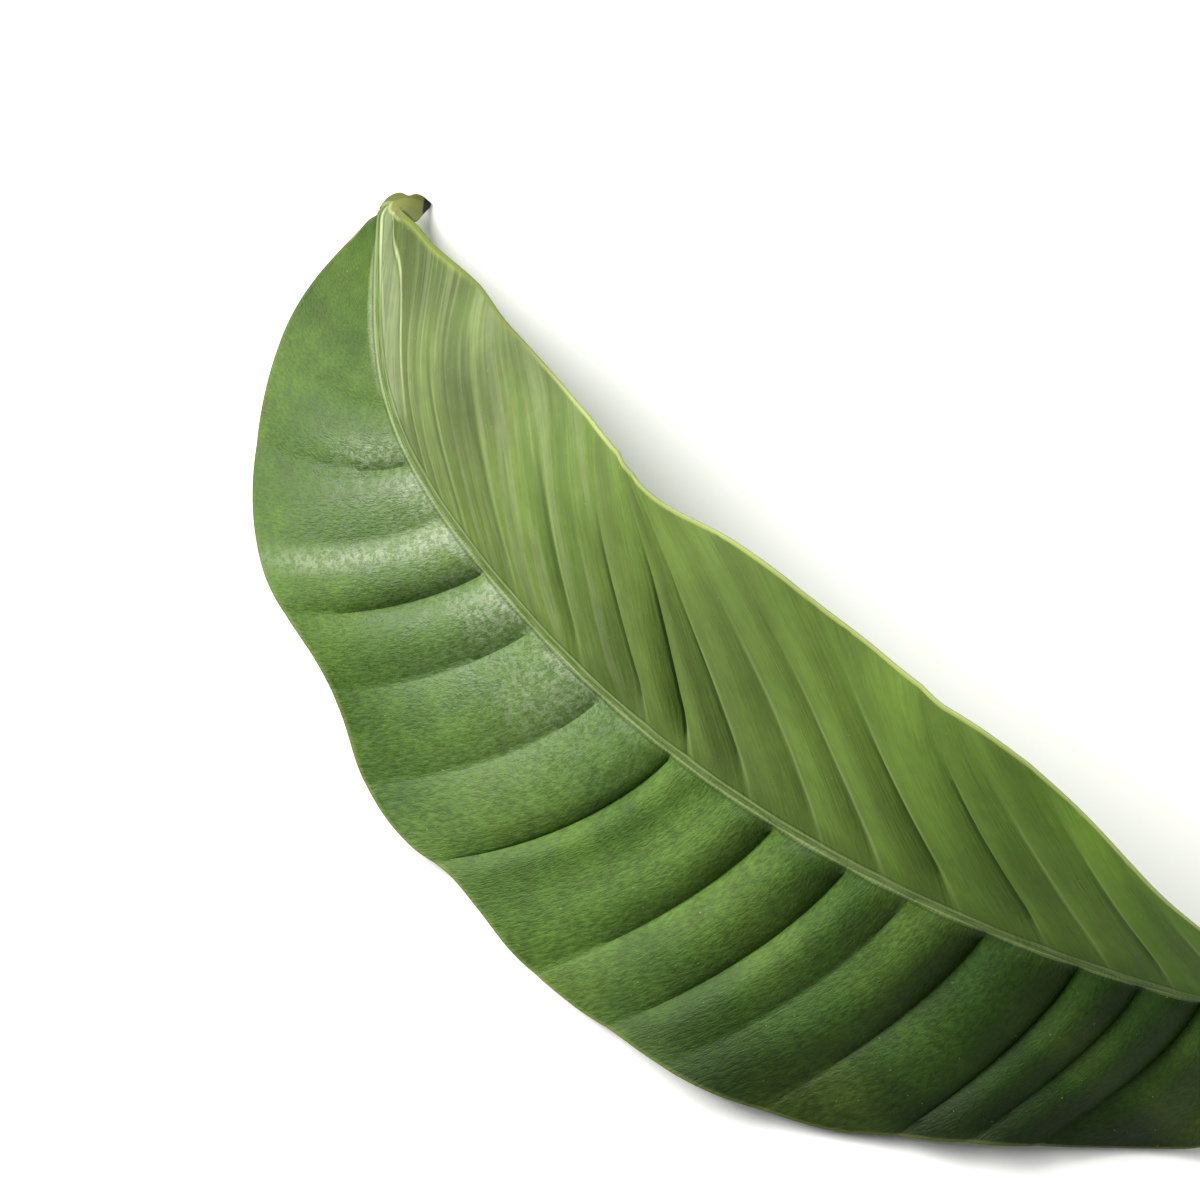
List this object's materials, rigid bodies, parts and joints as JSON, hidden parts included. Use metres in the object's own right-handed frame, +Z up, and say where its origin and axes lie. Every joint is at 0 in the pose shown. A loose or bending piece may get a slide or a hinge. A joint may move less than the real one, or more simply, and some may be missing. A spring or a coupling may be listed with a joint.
{
  "type": "pothos leaf",
  "caption": "Long pointed leaf with sunken side nerves, an arched blade and a short channelled stalk, picked and laid down.",
  "frame": {"origin": "centre of the bounding box at the level of the surface the leaf lies on", "axes": "+Z up, +X from the stalk's end towards the tip, the longest extent"},
  "size_m": [0.2974, 0.1064, 0.0673],
  "materials": {
    "leaf": "satin"
  },
  "bodies": {
    "root": {"leaf": "leaf"}
  },
  "joints": []
}
